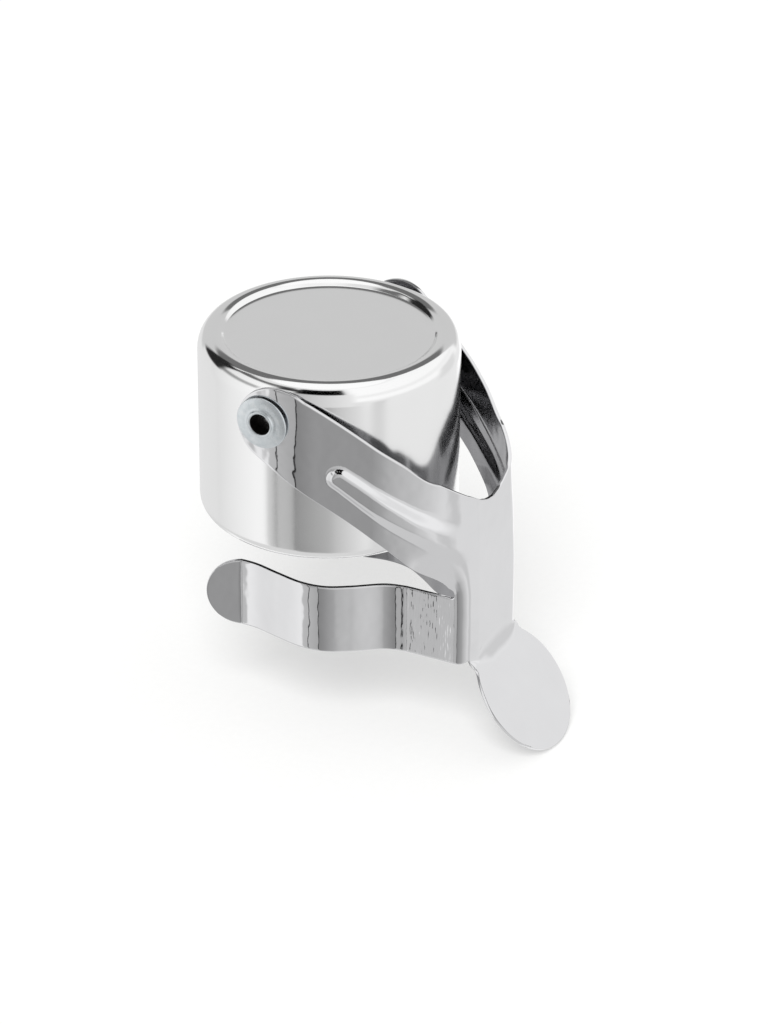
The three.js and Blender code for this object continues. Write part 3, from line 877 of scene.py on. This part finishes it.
def zinc(name):
    """Clear passivated zinc: cool grey with a fine speckle, and painted shade down the pivot's bore, near
    black and rougher.
    """
    material = bpy.data.materials.new(name)
    tree = Tree(material)
    clouds = tree.noise(1300, 3.0)
    grain = tree.noise(6000, 3.0)
    x, z = tree.place("X"), tree.place("Z") - (PIVOT_Z + PANEL_DEPTH) * MM
    # Painted shade: colour near black within the bore's radius, standing in for the dark down the hole
    bore = tree.share((x * x + z * z) ** 0.5, (BORE_RADIUS + 0.15) * MM, (BORE_RADIUS + 0.02) * MM)
    plate = tree.blend(clouds, (0.58, 0.64, 0.67), (0.86, 0.88, 0.89))
    tree.surface(
        Base_Color=tree.blend(bore, plate, (0.012, 0.010, 0.009)),
        Metallic=1.0,
        Roughness=0.22 + 0.16 * grain + 0.4 * bore,
        Normal=tree.bump(grain, 0.6, 20 * MICRON),
    )
    return material


def rubber(name):
    """Moulded rubber: near black, with a fine dull grain."""
    material = bpy.data.materials.new(name)
    tree = Tree(material)
    clouds = tree.noise(240, 3.0)
    grain = tree.noise(4200, 3.0)
    tree.surface(
        Base_Color=tree.blend(clouds, (0.018, 0.018, 0.019), (0.035, 0.035, 0.036)),
        Metallic=0.0,
        Roughness=0.52 + 0.2 * grain,
        Normal=tree.bump(grain, 0.7, 40 * MICRON),
    )
    return material


# Studio


CAMERA_ANGLES = (27.0, 29.5, 0.4)  # azimuth from the front, elevation and roll, in degrees
CAMERA_DISTANCE = 578.9
CAMERA_OFFSET = (-8.23, 27.79)  # where the cap's axis stands in the view, right of and above the middle
CAMERA_LENS = 180.08
CAMERA_SENSOR = 36


def make_camera():
    """The photograph's viewpoint."""
    azimuth, elevation, roll = (math.radians(a) for a in CAMERA_ANGLES)
    aside, above = CAMERA_OFFSET
    sin_a, cos_a = math.sin(azimuth), math.cos(azimuth)
    sin_e, cos_e = math.sin(elevation), math.cos(elevation)
    right = Vector((cos_a, sin_a, 0))
    up = Vector((-sin_a * sin_e, cos_a * sin_e, cos_e))
    back = Vector((sin_a * cos_e, -cos_a * cos_e, sin_e))
    turned_right = right * math.cos(roll) + up * math.sin(roll)
    turned_up = up * math.cos(roll) - right * math.sin(roll)
    place = in_frame(*(back * CAMERA_DISTANCE - turned_right * aside - turned_up * above))
    lens = bpy.data.cameras.new("camera")
    lens.sensor_fit = "HORIZONTAL"
    lens.sensor_width = CAMERA_SENSOR
    lens.lens = CAMERA_LENS
    lens.clip_start = 0.01
    lens.clip_end = 20
    camera = bpy.data.objects.new("camera", lens)
    camera.matrix_world = Matrix((turned_right, turned_up, back)).transposed().to_4x4()
    camera.location = place
    bpy.context.scene.collection.objects.link(camera)
    bpy.context.scene.camera = camera


# What stands round the object, laid over each other in this order. Angles are degrees: azimuth counts from
# +X towards +Y, elevation from the horizon. Each card has its ranges, how softly it begins and ends across
# and at its foot and top, and its brightness at the low and at the high end of its azimuth.
Card = namedtuple("Card", "azimuth elevation soft level")
TABLE_LIGHT = 0.72
AMBIENT = 0.62
CARDS = [
    Card((-180, 180), (-34, 95), (1, 1, 12, 12), (0.80, 0.80)),  # pale walls
    Card((-34, 100), (-34, 0), (12, 10, 12, 12), (0.86, 0.86)),  # paper that rises on the right
    Card((-44, 77), (-8, 64), (14, 14, 12, 12), (1.04, 1.0)),  # wide soft light on the right
    Card((-40, 74), (8, 20), (10, 10, 10, 10), (0.93, 0.93)),  # its frame's bar
    Card((44, 70), (-22, 4), (12, 10, 14, 14), (0.76, 0.76)),  # gap between the paper and the light
    Card((40, 180), (-89, -46), (10, 10, 8, 8), (1.0, 1.0)),  # bright paper behind the object
    Card((-25, -13), (-38, -16), (9, 9, 8, 8), (0.70, 0.70)),  # dim gap beside the paper
    Card((-180, -119), (-38, 42), (6, 6, 5, 5), (0.76, 1.03)),  # soft light on the left
    Card((-190, -125), (11, 22), (8, 8, 9, 9), (0.2, 0.45)),  # slats across the left light
    Card((-186, -100), (43, 55), (6, 6, 6, 6), (0.12, 0.2)),
    Card((88, 112), (-38, -12), (8, 8, 6, 6), (1.1, 1.1)),  # gap of light beside the backdrop
    Card((77, 160), (-4, 34), (6, 6, 10, 10), (0.62, 0.62)),  # backdrop
    Card((77, 172), (33, 64), (5, 5, 5, 5), (0.16, 0.16)),  # dark ceiling over the backdrop
    Card((160, 192), (6, 44), (8, 8, 6, 6), (0.02, 0.02)),  # dark corner left of the backdrop
    Card((-119, -90), (-38, 30), (2, 2, 4, 4), (0.62, 0.46)),  # edge of the table's sweep
    Card((-112, -42), (-26, 31), (10, 10, 6, 6), (0.36, 0.85)),  # open studio in front
    Card((-66, -32), (-43, -25), (4, 12, 12, 3), (0.44, 0.80)),  # the shadow under the table's edge
    Card((-92.5, -60), (-43, -25), (0.8, 8, 12, 3), (0.28, 0.45)),
    Card((-94, -48), (31, 55.5), (6, 6, 5, 5), (0.0, 0.0)),  # the camera and the dark behind it
    Card((-114, -90), (38, 50), (8, 8, 5, 5), (0.04, 0.04)),
    Card((-111.1, -109.9), (-38, 0), (0.5, 0.5, 3, 3), (0.02, 0.02)),  # two thin dark edges
    Card((-93.3, -92.1), (-38, 0), (0.5, 0.5, 3, 3), (0.02, 0.02)),
    Card((-180, 180), (65, 95), (1, 1, 4, 4), (1.05, 1.05)),  # soft light overhead
]


def make_world():
    """White to the camera. In the metal it is a studio of soft lights, pale walls and dark gaps."""
    world = bpy.data.worlds.new("studio")
    bpy.context.scene.world = world
    tree = Tree(world)
    way = tree.node("ShaderNodeTexCoord", output="Generated")
    x, y, z = (tree.node("ShaderNodeSeparateXYZ", {}, {0: way}, output=axis) for axis in "XYZ")
    degree = 180 / math.pi
    azimuth = tree.node("ShaderNodeMath", {"operation": "ARCTAN2"}, {0: y, 1: x}) * degree
    elevation = tree.node("ShaderNodeMath", {"operation": "ARCSINE"}, {0: z}) * degree

    def rising(value, edge, soft):
        return tree.share(value, edge - soft / 2, edge + soft / 2)

    def inside(value, low, high, soft_low, soft_high):
        return rising(value, low, soft_low) * (1 - rising(value, high, soft_high))

    brightness = TABLE_LIGHT
    for card in CARDS:
        low, high = card.azimuth
        begin, finish, foot, top = card.soft
        mask = inside(elevation, *card.elevation, foot, top)
        if high - low < 360:
            across = inside(azimuth, low, high, begin, finish)
            if high > 180:
                across = across + inside(azimuth, low - 360, high - 360, begin, finish)
            mask = mask * across
        ends = {"From Min": low, "From Max": high, "To Min": card.level[0], "To Max": card.level[1]}
        level = tree.node("ShaderNodeMapRange", {}, {"Value": azimuth, **ends})
        brightness = brightness + mask * (level - brightness)
    seen = tree.node("ShaderNodeLightPath", output="Is Camera Ray")
    mirrored = tree.node("ShaderNodeLightPath", output="Is Glossy Ray")
    light = AMBIENT + mirrored * (brightness - AMBIENT) + seen * (1 - AMBIENT)
    shader = tree.node("ShaderNodeBackground", {}, {"Color": (1, 1, 1, 1), "Strength": light})
    tree.node("ShaderNodeOutputWorld", {}, {"Surface": shader})


FLOOR_SIZE = 3
FLOOR_DROP = 0.05  # millimetres under the thumb tab's tip
PAPER_GLOW = 1.25
GLOW_SHARE = 0.36


def make_floor():
    """White paper. The camera sees it glow a little, so that its shadow stays faint."""
    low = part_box("clamp_lever")[0].z
    deselect()
    bpy.ops.mesh.primitive_plane_add(size=FLOOR_SIZE, location=(0, 0, low - FLOOR_DROP * MM))
    floor = bpy.context.object
    floor.name = "floor"
    bpy.ops.object.transform_apply(location=True)
    material = bpy.data.materials.new("paper")
    tree = Tree(material)
    grain = tree.noise(900, 2.0)
    tone = tree.blend(grain, (0.80, 0.80, 0.79), (0.84, 0.84, 0.83))
    paper = tree.node("ShaderNodeBsdfDiffuse", {}, {"Color": tone})
    glow = tree.node("ShaderNodeEmission", {}, {"Color": (1, 1, 1, 1), "Strength": PAPER_GLOW})
    camera = tree.node("ShaderNodeLightPath", output="Is Camera Ray")
    seen = tree.node("ShaderNodeMixShader", {}, {0: GLOW_SHARE * camera, 1: paper, 2: glow})
    tree.node("ShaderNodeOutputMaterial", {}, {"Surface": seen})
    floor.data.materials.append(material)
    floor.visible_glossy = False


SUN_ENERGY = 2.2
SUN_WIDTH = math.radians(32)
SUN_AZIMUTH = math.radians(-72)
SUN_ELEVATION = math.radians(47)


def make_sun():
    """Soft light from above, beside the camera, for the floor's shadow. The metal mirrors cards only."""
    lamp = bpy.data.lights.new("sun", "SUN")
    lamp.energy = SUN_ENERGY
    lamp.angle = SUN_WIDTH
    light = bpy.data.objects.new("sun", lamp)
    light.visible_glossy = False
    across = Vector((math.cos(SUN_AZIMUTH), math.sin(SUN_AZIMUTH), 0)) * math.cos(SUN_ELEVATION)
    towards = across + Vector((0, 0, math.sin(SUN_ELEVATION)))
    light.rotation_euler = towards.to_track_quat("Z", "Y").to_euler()
    bpy.context.scene.collection.objects.link(light)


cap_chrome = cap_finish()
clamp_chrome = clamp_finish()
rivet_zinc = zinc("rivet_zinc")
washer_zinc = zinc("washer_zinc")
seal_rubber = rubber("seal_rubber")

dress(make_cap(), "cap", cap_chrome, "cap_shell")
dress(make_seal(), "cap", seal_rubber, "seal_pad")
for label, side in (("left", -1), ("right", 1)):
    dress(make_rivet("rivet_" + label, side), "cap", rivet_zinc, "pivot_rivet_" + label)
    backing = make_backing("backing_" + label, side)
    dress(backing, "cap", washer_zinc, "backing_washer_" + label)
dress(make_clamp(), "clamp", clamp_chrome, "clamp_lever")

make_camera()
make_world()
make_floor()
make_sun()

bpy.context.scene.view_settings.view_transform = "Standard"
